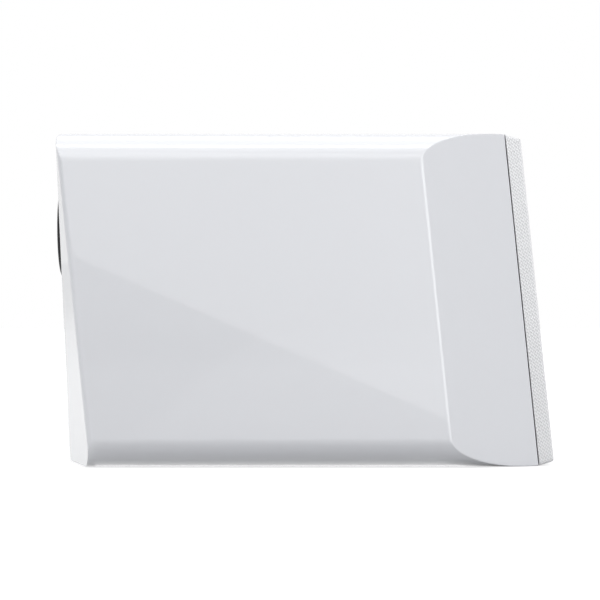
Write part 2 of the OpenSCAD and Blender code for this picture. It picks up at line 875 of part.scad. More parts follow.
module crossover_resistors() {
  color("ghostwhite")
    for (x = [-1, 1])
      translate([x * (resistor_len / 2 + resistor_gap), board_front_y + resistor_in, board_top + resistor_s / 2])
        cube([resistor_len, resistor_s, resistor_s], center = true);
}

module woofer_screw_places() {
  for (i = [0:woofer_screw_count - 1])
    rotate([0, 0, (i + 0.5) * 360 / woofer_screw_count])
      translate([woofer_screw_circle, 0, 0])
        children();
}

// Pressed basket: flange, conical wall with windows, ledge for the spider and floor for the magnet
module basket(side) {
  color([0.15, 0.15, 0.16])
    at_front(side * woofer_x)
      difference() {
        rotate_extrude()
          polygon([
            [cone_r + 2 * roll_r, flange_top], [woofer_r, flange_top], [woofer_r, flange_back],
            [basket_r, flange_back], [basket_r, collar_z],
            [basket_floor_r, ledge_z], [basket_floor_r, -basket_depth],
            [gap_r + 1, -basket_depth], [gap_r + 1, floor_top], [spider_r - 4, floor_top],
            [spider_r - 4, ledge_z], [basket_floor_r - basket_wall, ledge_z],
            [basket_in_r, collar_z + basket_wall / 2],
            [basket_in_r, flange_back + 1], [cone_r + 2 * roll_r, flange_back + 1]]);
        for (i = [0:basket_windows - 1])
          rotate([0, 0, i * 360 / basket_windows])
            translate([0, 0, window_base])
              linear_extrude(window_top - window_base)
                polygon([
                  [0, 0],
                  [woofer_r, -woofer_r * tan(basket_window_angle / 2)],
                  [woofer_r, woofer_r * tan(basket_window_angle / 2)]]);
        woofer_screw_places()
          translate([0, 0, flange_back - 1])
            cylinder(h = woofer_flange_t + 2, r = screw_r + screw_clear);
      }
}

module left_basket() basket(-1);

module right_basket() basket(1);

module top_plate(side) {
  color("silver")
    at_front(side * woofer_x)
      translate([0, 0, plate_z])
        ring(plate_r, gap_r, plate_t);
}

module left_top_plate() top_plate(-1);

module right_top_plate() top_plate(1);

module magnet(side) {
  color([0.2, 0.2, 0.2])
    at_front(side * woofer_x)
      translate([0, 0, magnet_z])
        ring(magnet_r, pole_r + magnet_space, magnet_t);
}

module left_magnet() magnet(-1);

module right_magnet() magnet(1);

// Back plate and pole in one forging
module yoke(side) {
  color("silver")
    at_front(side * woofer_x)
      union() {
        translate([0, 0, yoke_z])
          cylinder(h = yoke_t, r = plate_r);
        translate([0, 0, yoke_z])
          cylinder(h = -basket_depth - yoke_z, r = pole_r);
      }
}

module left_yoke() yoke(-1);

module right_yoke() yoke(1);

module voice_coil(side) {
  color("peru")
    at_front(side * woofer_x)
      union() {
        translate([0, 0, former_foot_z])
          ring(former_out_r, former_r, cone_neck_z - former_foot_z);
        translate([0, 0, former_foot_z])
          ring(winding_r, former_r + former_t / 2, winding_h);
      }
}

module left_voice_coil() voice_coil(-1);

module right_voice_coil() voice_coil(1);

// Corrugated ring between the former and the ledge of the basket
module spider(side) {
  start = former_out_r + seat_clear;
  land = spider_r - 4;
  steps = 2 * spider_waves;
  line = [for (i = [0:steps]) [start + (land - start) * i / steps,
    spider_z + (i == 0 || i == steps ? 0 : (i % 2 == 0 ? -1 : 1) * spider_wave_h / 2)]];
  rim = [[spider_r + 1, spider_z]];
  upper = [for (p = concat(line, rim)) [p[0], p[1] + spider_t / 2]];
  lower = [for (p = concat(line, rim)) [p[0], p[1] - spider_t / 2]];
  color("khaki")
    at_front(side * woofer_x)
      rotate_extrude()
        polygon(concat(upper, [for (i = [len(lower) - 1:-1:0]) lower[i]]));
}

module left_spider() spider(-1);

module right_spider() spider(1);

// Conical diaphragm whose neck is glued around the former
module cone(side) {
  slope = (cone_r - former_out_r) / cone_depth;
  color([0.1, 0.1, 0.1])
    at_front(side * woofer_x)
      rotate_extrude()
        polygon([
          [former_out_r + seat_clear, cone_neck_z - 2],
          [former_out_r + seat_clear + cone_t, cone_neck_z - 2],
          [former_out_r + seat_clear + cone_t + slope * 1.5, cone_neck_z - 0.5],
          [cone_r, cone_rim_z - cone_t], [cone_r, cone_rim_z],
          [cone_r - cone_t, cone_rim_z],
          [former_r, cone_neck_z], [former_out_r + seat_clear, cone_neck_z]]);
}

module left_cone() cone(-1);

module right_cone() cone(1);

module dust_cap(side) {
  cap_z = cone_rim_z - (cone_r - cone_t - dust_cap_r) * cone_depth / (cone_r - cone_t - former_r);
  sphere_z = cap_z - sqrt(dust_cap_sphere * dust_cap_sphere - dust_cap_r * dust_cap_r);
  color([0.1, 0.1, 0.1])
    at_front(side * woofer_x)
      intersection() {
        translate([0, 0, sphere_z])
          difference() {
            sphere(dust_cap_sphere);
            sphere(dust_cap_sphere - cone_t);
          }
        translate([0, 0, cap_z + 0.1])
          cylinder(h = dust_cap_sphere, r = dust_cap_r + 1);
      }
}

module left_dust_cap() dust_cap(-1);

module right_dust_cap() dust_cap(1);

// Rubber half roll with a land on the cone's rim and a land on the flange
module surround(side) {
  base_z = flange_top + surround_t / 2;
  color([0.08, 0.08, 0.08])
    at_front(side * woofer_x)
      rotate_extrude()
        union() {
          difference() {
            translate([roll_mid_r, base_z])
              circle(roll_r + surround_t / 2);
            translate([roll_mid_r, base_z])
              circle(roll_r - surround_t / 2);
            translate([roll_mid_r - 2 * roll_r, base_z - 3 * roll_r])
              square([4 * roll_r, 3 * roll_r]);
          }
          translate([roll_mid_r + roll_r - surround_t / 2, flange_top])
            square([surround_land, surround_t]);
          translate([cone_r - 3, flange_top])
            square([3 + surround_t / 2, surround_t]);
        }
}

module left_surround() surround(-1);

module right_surround() surround(1);

module trim_ring(side) {
  color([0.1, 0.1, 0.1])
    at_front(side * woofer_x)
      difference() {
        translate([0, 0, flange_top])
          ring(woofer_r, roll_mid_r + roll_r - surround_t / 2 + surround_land, trim_t);
        woofer_screw_places()
          translate([0, 0, flange_top - 1])
            cylinder(h = trim_t + 2, r = screw_head_r + screw_clear);
      }
}

module left_trim_ring() trim_ring(-1);

module right_trim_ring() trim_ring(1);

module woofer_screws(side) {
  color("black")
    at_front(side * woofer_x)
      woofer_screw_places()
        screw(screw_r, screw_head_r, trim_t, screw_len);
}

module left_screws() woofer_screws(-1);

module right_screws() woofer_screws(1);

module tweeter_screw_places() {
  for (i = [0:tweeter_screw_count - 1])
    rotate([0, 0, (i + 0.5) * 360 / tweeter_screw_count])
      translate([tweeter_screw_circle, 0, 0])
        children();
}

// Height of the waveguide's face at a radius, as a share of its width raised to a power
function guide_z(r) = -guide_depth * pow((guide_r - r) / (guide_r - throat_r), 1.8);

module tweeter_faceplate() {
  steps = 8;
  face = [for (i = [0:steps]) let (r = throat_r + (guide_r - throat_r) * i / steps) [r, guide_z(r)]];
  color([0.12, 0.12, 0.12])
    at_front()
      difference() {
        rotate_extrude()
          polygon(concat(
            [[throat_r, boss_z]], face,
            [[tweeter_r, 0], [tweeter_r, -tweeter_plate_t],
             [tweeter_boss_r, -tweeter_plate_t], [tweeter_boss_r, boss_z]]));
        tweeter_screw_places() {
          translate([0, 0, -tweeter_plate_t - 1])
            cylinder(h = tweeter_plate_t + 2, r = screw_r + screw_clear);
          translate([0, 0, -trim_t])
            cylinder(h = trim_t + 1, r = screw_head_r + screw_clear);
        }
      }
}

// Dome, its half roll and its mounting ring, pressed from one sheet
module tweeter_dome() {
  sphere_z = dome_base_z - sqrt(dome_sphere * dome_sphere - dome_r * dome_r);
  roll_r_mid = dome_r + dome_roll_r;
  color([0.7, 0.7, 0.75])
    at_front()
      union() {
        intersection() {
          translate([0, 0, sphere_z])
            difference() {
              sphere(dome_sphere);
              sphere(dome_sphere - dome_t);
            }
          translate([0, 0, dome_base_z - dome_t])
            cylinder(h = dome_sphere, r = dome_r);
        }
        rotate_extrude()
          difference() {
            translate([roll_r_mid, dome_base_z - dome_t])
              circle(dome_roll_r + dome_t / 2);
            translate([roll_r_mid, dome_base_z - dome_t])
              circle(dome_roll_r - dome_t / 2);
            translate([0, dome_base_z - dome_t - 3 * dome_roll_r])
              square([3 * dome_r, 3 * dome_roll_r]);
          }
        translate([0, 0, dome_base_z - dome_t])
          ring(tweeter_magnet_r - 2, dome_hole_r - dome_t / 2, dome_t);
      }
}

module tweeter_coil() {
  color("peru")
    at_front()
      translate([0, 0, dome_base_z - dome_t - tweeter_coil_h])
        ring(dome_r, dome_r - dome_t, tweeter_coil_h);
}

module tweeter_top_plate() {
  color("silver")
    at_front()
      translate([0, 0, tweeter_plate_z])
        ring(tweeter_magnet_r - 2, dome_r + tweeter_coil_clear, tweeter_steel_t);
}

module tweeter_magnet() {
  color([0.2, 0.2, 0.2])
    at_front()
      translate([0, 0, tweeter_magnet_z])
        ring(tweeter_magnet_r, dome_r + magnet_space / 2, tweeter_magnet_t);
}

module tweeter_yoke() {
  color("silver")
    at_front()
      union() {
        translate([0, 0, tweeter_yoke_z])
          cylinder(h = tweeter_steel_t, r = tweeter_magnet_r - 2);
        translate([0, 0, tweeter_yoke_z])
          cylinder(h = tweeter_plate_z + tweeter_steel_t - tweeter_yoke_z - dome_t,
            r = dome_r - dome_t - tweeter_coil_clear);
      }
}

module tweeter_screws() {
  color("black")
    at_front()
      tweeter_screw_places()
        screw(screw_r, screw_head_r, trim_t, screw_len - trim_t);
}

// Bevelled slab of the grille, moved in by the given amount on every face
module grille_block(in) {
  back = grille_gap + in;
  front = grille_gap + grille_t - in;
  top_back = front_h / 2 - in / cos(atan(grille_top_bevel / grille_t));
  bottom_back = front_h / 2 - in / cos(atan(grille_bottom_bevel / grille_t));
  end_back = front_half_w - in / cos(atan(grille_end_bevel / grille_t));
  back_share = in / grille_t;
  front_share = 1 - in / grille_t;
  intersection() {
    rotate([90, 0, 90])
      linear_extrude(2 * cabinet_w, center = true)
        polygon([
          [-bottom_back + grille_bottom_bevel * back_share, back],
          [top_back - grille_top_bevel * back_share, back],
          [top_back - grille_top_bevel * front_share, front],
          [-bottom_back + grille_bottom_bevel * front_share, front]]);
    rotate([90, 0, 0])
      linear_extrude(2 * cabinet_h, center = true)
        polygon([
          [-end_back + grille_end_bevel * back_share, back],
          [end_back - grille_end_bevel * back_share, back],
          [end_back - grille_end_bevel * front_share, front],
          [-end_back + grille_end_bevel * front_share, front]]);
  }
}

// Moulded frame with three round windows and six pegs
module grille_frame() {
  color([0.1, 0.1, 0.1])
    at_front()
      union() {
        difference() {
          grille_block(cloth_t);
          for (side = [-1, 1])
            translate([side * woofer_x, 0, 0])
              cylinder(h = 2 * grille_t, r = woofer_window_r);
          cylinder(h = 2 * grille_t, r = tweeter_window_r);
        }
        for (p = pegs)
          translate([p[0], p[1], -peg_len]) {
            cylinder(h = peg_len + grille_gap + 2 * cloth_t, r = peg_r);
            sphere(peg_r);
          }
      }
}

// Cloth stretched over the front and the bevels, with its hem folded behind the frame
module grille_cloth() {
  color("whitesmoke")
    at_front()
      difference() {
        grille_block(0);
        grille_block(cloth_t);
        linear_extrude(grille_gap + grille_t / 2)
          square([2 * (front_half_w - cloth_hem), front_h - 2 * cloth_hem], center = true);
      }
}

// Cups pressed into the baffle that grip the grille pegs
module peg_sockets() {
  color([0.1, 0.1, 0.1])
    at_front()
      for (p = pegs)
        translate([p[0], p[1], -socket_depth])
          difference() {
            cylinder(h = socket_depth, r = socket_r);
            translate([0, 0, socket_wall])
              cylinder(h = socket_depth, r = peg_r + peg_clear);
          }
}

// Direction of a lead at one of its points
function lead_direction(points, i) =
  unit((i < len(points) - 1 ? unit(points[i + 1] - points[i]) : [0, 0, 0])
    + (i > 0 ? unit(points[i] - points[i - 1]) : [0, 0, 0]));

// Round of corners across a lead at one of its points
function lead_round(points, i) =
  let (d = lead_direction(points, i), u = unit(cross(d, [1, -1, 0.3])), v = cross(d, u))
  [for (k = [0:lead_sides - 1])
    points[i] + lead_r * (cos(k * 360 / lead_sides) * u + sin(k * 360 / lead_sides) * v)];

// Lead laid through the given points
module lead(points) {
  last = len(points) - 1;
  color("firebrick")
    polyhedron(
      [for (i = [0:last]) each lead_round(points, i)],
      concat(
        [[for (k = [0:lead_sides - 1]) k]],
        [[for (k = [lead_sides - 1:-1:0]) last * lead_sides + k]],
        [for (i = [0:last - 1], k = [0:lead_sides - 1])
          let (here = i * lead_sides, there = here + lead_sides, next = (k + 1) % lead_sides)
          each [[here + k, there + k, there + next], [here + k, there + next, here + next]]]));
}

// From the crossover through the brace window to the rear of a woofer's basket
module left_lead() {
  lead([
    [-lead_start_x, lead_start_y, lead_foot],
    [-lead_start_x, lead_start_y, board_top + lead_rise],
    [-brace_x, lead_start_y - lead_in, wall + brace_web + lead_pass],
    front_point(-woofer_x + magnet_r + 2 * lead_straight, -lead_drop, 2 * yoke_z),
    front_point(-woofer_x + magnet_r + lead_straight, -lead_drop, yoke_z - lead_straight),
    front_point(-woofer_x + basket_floor_r - 2 * lead_r, -lead_drop, collar_z + yoke_z / 3)]);
}

module right_lead() {
  mirror([1, 0, 0])
    left_lead();
}

module tweeter_lead() {
  lead([
    [0, board_front_y + 2 * lead_r, lead_foot],
    [0, board_front_y + lead_r, board_top + lead_rise],
    front_point(0, -lead_drop - lead_straight, tweeter_yoke_z - 4 * lead_straight),
    front_point(0, -lead_drop, tweeter_yoke_z - lead_straight),
    front_point(0, -lead_drop, tweeter_yoke_z - seat_clear)]);
}

module input_lead() {
  lead([
    [0, board_rear_y - lead_in, lead_foot],
    [0, board_rear_y - lead_in, board_top + lead_rise],
    rear_point(post_pitch / 2, cup_z - lead_straight, post_end_z - 1.5 * lead_straight),
    rear_point(post_pitch / 2, cup_z, post_end_z - lead_straight / 2),
    rear_point(post_pitch / 2, cup_z, post_end_z - seat_clear)]);
}

cabinet_shell();
front_baffle();
left_brace();
right_brace();
left_damping_pad();
right_damping_pad();
left_port();
right_port();
terminal_cup();
terminal_gasket();
red_post();
black_post();
red_knob();
black_knob();
terminal_nuts();
terminal_screws();
crossover_board();
crossover_spacers();
crossover_screws();
crossover_chokes();
crossover_capacitors();
crossover_resistors();
left_basket();
left_top_plate();
left_magnet();
left_yoke();
left_voice_coil();
left_spider();
left_cone();
left_dust_cap();
left_surround();
left_trim_ring();
left_screws();
right_basket();
right_top_plate();
right_magnet();
right_yoke();
right_voice_coil();
right_spider();
right_cone();
right_dust_cap();
right_surround();
right_trim_ring();
right_screws();
tweeter_faceplate();
tweeter_dome();
tweeter_coil();
tweeter_top_plate();
tweeter_magnet();
tweeter_yoke();
tweeter_screws();
grille_frame();
grille_cloth();
peg_sockets();
left_lead();
right_lead();
tweeter_lead();
input_lead();
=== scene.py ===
import bpy
import json
import math
from mathutils import Matrix, Vector
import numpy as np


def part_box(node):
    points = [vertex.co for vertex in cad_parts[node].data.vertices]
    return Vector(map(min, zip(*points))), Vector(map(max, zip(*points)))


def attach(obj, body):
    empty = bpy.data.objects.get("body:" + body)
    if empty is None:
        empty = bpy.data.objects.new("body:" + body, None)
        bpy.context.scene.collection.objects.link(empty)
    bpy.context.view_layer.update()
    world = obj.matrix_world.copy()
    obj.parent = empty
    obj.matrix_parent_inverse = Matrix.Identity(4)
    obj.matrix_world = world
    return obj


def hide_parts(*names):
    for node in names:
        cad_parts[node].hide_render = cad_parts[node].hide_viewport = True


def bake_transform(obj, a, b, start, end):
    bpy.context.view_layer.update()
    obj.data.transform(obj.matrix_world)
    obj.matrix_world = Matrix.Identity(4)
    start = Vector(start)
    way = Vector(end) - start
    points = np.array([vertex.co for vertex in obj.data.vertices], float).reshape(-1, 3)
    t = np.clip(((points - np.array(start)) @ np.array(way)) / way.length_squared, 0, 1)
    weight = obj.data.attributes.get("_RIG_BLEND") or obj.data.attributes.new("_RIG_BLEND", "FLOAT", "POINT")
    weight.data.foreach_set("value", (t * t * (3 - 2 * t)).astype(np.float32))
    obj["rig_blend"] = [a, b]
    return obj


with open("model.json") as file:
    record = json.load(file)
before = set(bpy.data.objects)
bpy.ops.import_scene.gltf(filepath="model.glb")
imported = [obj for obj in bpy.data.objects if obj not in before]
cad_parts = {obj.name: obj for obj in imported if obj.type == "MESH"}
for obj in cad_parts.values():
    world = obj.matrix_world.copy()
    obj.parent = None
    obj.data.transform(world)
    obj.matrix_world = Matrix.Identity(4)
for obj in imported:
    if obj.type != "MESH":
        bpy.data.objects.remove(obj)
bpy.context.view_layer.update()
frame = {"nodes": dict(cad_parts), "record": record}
nodes = frame["nodes"]
mm = 0.001

# the cabinet's planes and the grille on its front, in mm
cabinet = {
    "height": 180.0,
    "frontY": -118.898,      # where the front plane crosses mid height
    "frontLean": 5.9,        # degrees
    "facetRun": 47.0,        # a front facet, along the side
    "facetIn": 19.6,         # and in from it
    "gap": 0.65,             # behind the grille
    "grilleDepth": 8.4,
    "halfWidth": 240.4,      # grille, at its back
    "halfHeight": 90.48,
    "wooferX": 152.0,
}


def onFront(x=0.0):
    # local x across, y up the slope, z out of the front, all in metres
    lean = math.radians(-cabinet["frontLean"])
    return (Matrix.Translation((0, cabinet["frontY"] * mm, cabinet["height"] * mm / 2))
            @ Matrix.Rotation(lean, 4, "X") @ Matrix.Translation((x, 0, 0))
            @ Matrix.Rotation(math.radians(90), 4, "X"))


def clearSelection():
    if bpy.context.object and bpy.context.object.mode != "OBJECT":
        bpy.ops.object.mode_set(mode="OBJECT")
    bpy.ops.object.select_all(action="DESELECT")


def choose(piece):
    clearSelection()
    piece.select_set(True)
    bpy.context.view_layer.objects.active = piece


def freeze(piece, matrix=None):
    # the piece's place goes into its mesh
    bpy.context.view_layer.update()
    piece.data.transform((matrix or Matrix.Identity(4)) @ piece.matrix_world)
    piece.matrix_world = Matrix.Identity(4)
    piece.data.update()


def shadeSmooth(piece, degrees):
    # edges sharper than this stay sharp
    choose(piece)
    bpy.ops.object.shade_smooth_by_angle(angle=math.radians(degrees))


def skinToWall(piece, thickness, offset):
    # an open skin whose widest face looks up gets its thickness
    bpy.ops.object.mode_set(mode="EDIT")
    bpy.ops.mesh.select_all(action="SELECT")
    bpy.ops.mesh.normals_make_consistent(inside=False)
    bpy.ops.object.mode_set(mode="OBJECT")
    if max(piece.data.polygons, key=lambda face: face.area).normal.z < 0:
        piece.data.flip_normals()
    wall = piece.modifiers.new("wall", "SOLIDIFY")
    wall.thickness = thickness * mm
    wall.offset = offset
    choose(piece)
    bpy.ops.object.modifier_apply(modifier=wall.name)


def mathNode(tree, operation, *values):
    # a number is typed in, a socket is linked
    node = tree.nodes.new("ShaderNodeMath")
    node.operation = operation
    for index, value in enumerate(values):
        if isinstance(value, (int, float)):
            node.inputs[index].default_value = value
        else:
            tree.links.new(value, node.inputs[index])
    return node.outputs[0]


def emptyTree(owner):
    owner.use_nodes = True
    owner.node_tree.nodes.clear()
    return owner.node_tree


# camera
print("stage: camera")
cameraView = {"place": (-1.560, 0.0013, 0.090), "lens": 145.8, "sensor": 36.0}
cameraData = bpy.data.cameras.new("sideCamera")
cameraData.lens = cameraView["lens"]
cameraData.sensor_width = cameraView["sensor"]
camera = bpy.data.objects.new("sideCamera", cameraData)
bpy.context.collection.objects.link(camera)
camera.location = cameraView["place"]
camera.rotation_euler = (math.radians(90), 0, math.radians(-90))
bpy.context.scene.camera = camera
bpy.context.scene.view_settings.view_transform = "Standard"

# floor and walls, in metres
print("stage: floor and light")
studio = {
    "floorSize": 12.0,
    "floorDrop": 0.0003,
    "floorColour": (0.48, 0.48, 0.48, 1),
    "floorLift": 0.65,       # white that the camera adds near the speaker
    "fadeStart": 0.45,       # from here on it rises, to full white at fadeEnd
    "fadeEnd": 1.3,
    # distance from the middle, and the light that the lacquer mirrors there
    "mirrored": [(0.250, 1.40), (0.2545, 0.60), (0.258, 0.1), (0.276, 0.0),
                 (0.310, 0.5), (0.450, 0.8), (1.300, 1.0)],
    "mirroredTop": 2.0,      # the curve's upper end
    "mirroredRear": 0.66,    # an even level under the rear facets
    "slantStart": 0.074,     # ahead of the middle, where it turns with the front facets
    "rearStart": 0.112,      # behind the middle, where the even level starts
    "worldColour": (0.96, 0.98, 1.0, 1),
    "worldStrength": 0.42,   # what the walls give to the speaker
}


def mirroredLight(tree, spot):
    # the lacquer mirrors a floor whose light changes with the distance from the speaker's side
    apart = tree.nodes.new("ShaderNodeSeparateXYZ")
    tree.links.new(spot, apart.inputs[0])
    sideways = mathNode(tree, "ABSOLUTE", apart.outputs["X"])
    # under the front facets the same light follows their slant
    slope = cabinet["facetIn"] / cabinet["facetRun"]
    slant = mathNode(tree, "MULTIPLY_ADD", apart.outputs["Y"], -slope, -slope * studio["slantStart"])
    outward = mathNode(tree, "ADD", sideways, mathNode(tree, "MAXIMUM", slant, 0.0))
    far, top = studio["mirrored"][-1][0], studio["mirroredTop"]
    curve = tree.nodes.new("ShaderNodeFloatCurve")
    points = curve.mapping.curves[0].points
    for index, (reach, level) in enumerate(studio["mirrored"]):
        # a new curve has two points of its own
        if index < 2:
            points[index].location = (reach / far, level / top)
        else:
            points.new(reach / far, level / top)
    curve.mapping.extend = "HORIZONTAL"
    curve.mapping.update()
    tree.links.new(mathNode(tree, "DIVIDE", outward, far), curve.inputs["Value"])
    behind = mathNode(tree, "GREATER_THAN", apart.outputs["Y"], studio["rearStart"])
    rear = tree.nodes.new("ShaderNodeMix")
    tree.links.new(behind, rear.inputs["Factor"])
    tree.links.new(mathNode(tree, "MULTIPLY", curve.outputs[0], top), rear.inputs["A"])
    rear.inputs["B"].default_value = studio["mirroredRear"]
    return rear.outputs["Result"]


clearSelection()
bpy.ops.mesh.primitive_plane_add(size=studio["floorSize"], location=(0, 0, -studio["floorDrop"]))
studioFloor = bpy.context.object
studioFloor.name = "studioFloor"
floorPaint = bpy.data.materials.new("studioFloor")
tree = emptyTree(floorPaint)
rays = tree.nodes.new("ShaderNodeLightPath")
spot = tree.nodes.new("ShaderNodeTexCoord").outputs["Object"]
distance = tree.nodes.new("ShaderNodeVectorMath")
distance.operation = "LENGTH"
tree.links.new(spot, distance.inputs[0])
fade = tree.nodes.new("ShaderNodeMapRange")
tree.links.new(distance.outputs["Value"], fade.inputs["Value"])
fade.inputs["From Min"].default_value = studio["fadeStart"]
fade.inputs["From Max"].default_value = studio["fadeEnd"]
fade.inputs["To Min"].default_value = studio["floorLift"]
fade.inputs["To Max"].default_value = 1.0
seenGlow = mathNode(tree, "MULTIPLY", rays.outputs["Is Camera Ray"], fade.outputs["Result"])
mirrorGlow = mathNode(tree, "MULTIPLY", mirroredLight(tree, spot), rays.outputs["Is Glossy Ray"])
floorGlow = tree.nodes.new("ShaderNodeEmission")
tree.links.new(mathNode(tree, "ADD", seenGlow, mirrorGlow), floorGlow.inputs["Strength"])
floorMatt = tree.nodes.new("ShaderNodeBsdfDiffuse")
floorMatt.inputs["Color"].default_value = studio["floorColour"]
floorSum = tree.nodes.new("ShaderNodeAddShader")
tree.links.new(floorMatt.outputs[0], floorSum.inputs[0])
tree.links.new(floorGlow.outputs[0], floorSum.inputs[1])
floorOut = tree.nodes.new("ShaderNodeOutputMaterial")
tree.links.new(floorSum.outputs[0], floorOut.inputs["Surface"])
studioFloor.data.materials.append(floorPaint)

# the walls look white, and light the speaker with less than that
studioWorld = bpy.data.worlds.new("studioWalls")
bpy.context.scene.world = studioWorld
tree = emptyTree(studioWorld)
wallLight = tree.nodes.new("ShaderNodeBackground")
wallLight.inputs["Color"].default_value = studio["worldColour"]
wallLight.inputs["Strength"].default_value = studio["worldStrength"]
wallWhite = tree.nodes.new("ShaderNodeBackground")
wallWhite.inputs["Color"].default_value = (1, 1, 1, 1)
rays = tree.nodes.new("ShaderNodeLightPath")
seen = mathNode(tree, "MAXIMUM", rays.outputs["Is Camera Ray"], rays.outputs["Is Glossy Ray"])
wallMix = tree.nodes.new("ShaderNodeMixShader")
tree.links.new(mathNode(tree, "MAXIMUM", seen, rays.outputs["Is Transmission Ray"]), wallMix.inputs[0])
tree.links.new(wallLight.outputs[0], wallMix.inputs[1])
tree.links.new(wallWhite.outputs[0], wallMix.inputs[2])
worldOut = tree.nodes.new("ShaderNodeOutputWorld")
tree.links.new(wallMix.outputs[0], worldOut.inputs["Surface"])

# place, aim, width, height, radiance, roll in degrees, seen by: diffuse, glossy
lamps = {
    "overhead": ((-0.10, 0.0, 1.30), (0, 0, 0.1), 1.3, 1.5, 1.05, 0, True, True),
    "topEdgeStrip": ((-0.62, 0.0, 1.22), (-0.26, 0, 0.17), 0.16, 1.8, 2.6, 90, False, True),
    "cameraSide": ((-2.2, 0.3, 1.0), (-0.2, 0, 0.1), 1.4, 1.4, 1.66, 0, True, False),
    "frontSide": ((-0.7, -1.7, 0.9), (0, 0, 0.1), 1.4, 1.3, 1.9, 0, True, False),
    "rearSide": ((-0.6, 1.8, 0.8), (0, 0, 0.1), 1.4, 1.3, 1.15, 0, True, False),
    "frontFill": ((0.5, -2.2, 0.7), (0, 0, 0.1), 1.3, 1.1, 1.1, 0, True, False),
    "farFront": ((1.2, -1.4, 0.9), (0, 0, 0.1), 1.0, 1.0, 0.9, 0, True, False),
    "farRear": ((1.2, 1.4, 0.9), (0, 0, 0.1), 1.0, 1.0, 0.9, 0, True, False),
    "slantPanel": ((-0.80, -0.07, 0.29), (0, -0.07, 0.29), 0.90, 0.50, 0.85, -23.6, False, True),
    "rearStrip": ((-1.30, 0.70, 0.25), (-0.25, 0.12, 0.1), 0.50, 0.9, 0.52, 0, False, True),
    "topFadeHigh": ((-0.85, 0.0, 1.09), (-0.25, 0, 0.17), 0.49, 1.8, 1.15, 90, False, True),
    "topFadeLow": ((-1.18, 0.0, 0.753), (-0.25, 0, 0.17), 0.49, 1.8, 0.65, 90, False, True),
    "creaseStrip": ((-1.36, -0.56, 0.25), (-0.25, -0.08, 0.1), 0.50, 0.9, 1.7, 0, False, True),
    "rimStrip": ((0.10, -1.60, 0.30), (-0.24, -0.12, 0.1), 0.8, 0.9, 2.2, 0, False, True),
}
wattsPerRadiance = 4         # for one square metre of an area lamp
for name, (spot, aim, wide, high, radiance, roll, matt, gloss) in lamps.items():
    lampData = bpy.data.lights.new(name, "AREA")
    lampData.shape = "RECTANGLE"
    lampData.size = wide
    lampData.size_y = high
    lampData.energy = radiance * wattsPerRadiance * wide * high
    lamp = bpy.data.objects.new(name, lampData)
    bpy.context.collection.objects.link(lamp)
    facing = (Vector(aim) - Vector(spot)).to_track_quat("-Z", "Y").to_matrix().to_4x4()
    lamp.matrix_world = Matrix.Translation(spot) @ facing @ Matrix.Rotation(math.radians(roll), 4, "Z")
    lamp.visible_camera = False
    lamp.visible_diffuse = matt
    lamp.visible_glossy = gloss

# effects shared by the finishes
print("stage: finishes")


def effectGroup(name, inputs, outputs):
    group = bpy.data.node_groups.new(name, "ShaderNodeTree")
    for way, sockets in (("INPUT", inputs), ("OUTPUT", outputs)):
        for label, kind in sockets.items():
            group.interface.new_socket(name=label, in_out=way, socket_type="NodeSocket" + kind)
    return group, group.nodes.new("NodeGroupInput"), group.nodes.new("NodeGroupOutput")


def noiseNode(tree, vector, scale, detail):
    node = tree.nodes.new("ShaderNodeTexNoise")
    tree.links.new(vector, node.inputs["Vector"])
    node.inputs["Detail"].default_value = detail
    if isinstance(scale, float):
        node.inputs["Scale"].default_value = scale
    else:
        tree.links.new(scale, node.inputs["Scale"])
    return node.outputs["Fac"]


def tintNode(tree, share, dark, light):
    node = tree.nodes.new("ShaderNodeMix")
    node.data_type = "RGBA"
    for label, value in (("Factor", share), ("A", dark), ("B", light)):
        tree.links.new(value, node.inputs[label])
    return node.outputs["Result"]


def bumpNode(tree, height, strength, distance):
    node = tree.nodes.new("ShaderNodeBump")
    tree.links.new(height, node.inputs["Height"])
    node.inputs["Strength"].default_value = strength
    node.inputs["Distance"].default_value = distance
    return node


# fine grain with a slower cloud of tone in it
surfaceGrain, start, end = effectGroup(
    "surfaceGrain",
    {"Place": "Vector", "Dark": "Color", "Light": "Color", "Grain Scale": "Float", "Cloud Scale": "Float",
     "Smooth": "Float", "Rough": "Float"},
    {"Colour": "Color", "Roughness": "Float", "Height": "Float"})
grain = noiseNode(surfaceGrain, start.outputs["Place"], start.outputs["Grain Scale"], 2.0)
cloud = noiseNode(surfaceGrain, start.outputs["Place"], start.outputs["Cloud Scale"], 4.0)
average = mathNode(surfaceGrain, "MULTIPLY", mathNode(surfaceGrain, "ADD", grain, cloud), 0.5)
tone = tintNode(surfaceGrain, average, start.outputs["Dark"], start.outputs["Light"])
surfaceGrain.links.new(tone, end.inputs["Colour"])
span = mathNode(surfaceGrain, "SUBTRACT", start.outputs["Rough"], start.outputs["Smooth"])
cloudy = mathNode(surfaceGrain, "MULTIPLY_ADD", cloud, span, start.outputs["Smooth"])
surfaceGrain.links.new(cloudy, end.inputs["Roughness"])
surfaceGrain.links.new(grain, end.inputs["Height"])

# over and under threads on the piece's own flat map, in metres, coloured with painted shade at the threads'
# edges and in the pores and a painted highlight where a thread lies on top
threadShape = {
    "fibreScale": 2600.0,
    "fibreRise": 0.25,       # of a thread's own height
    "poreShadeFade": 0.35,        # lower makes the painted shade in the pores smaller
}
threadWeave, start, end = effectGroup(
    "threadWeave",
    {"Map": "Vector", "Pitch": "Float", "Poreshade": "Color", "Thread": "Color", "Crest": "Color"},
    {"Colour": "Color", "Height": "Float"})


def threadRound(steps):
    # 0 at a thread's edges and 1 along its middle
    wave = mathNode(threadWeave, "SINE", mathNode(threadWeave, "MULTIPLY", steps, math.pi))
    return mathNode(threadWeave, "ABSOLUTE", wave)


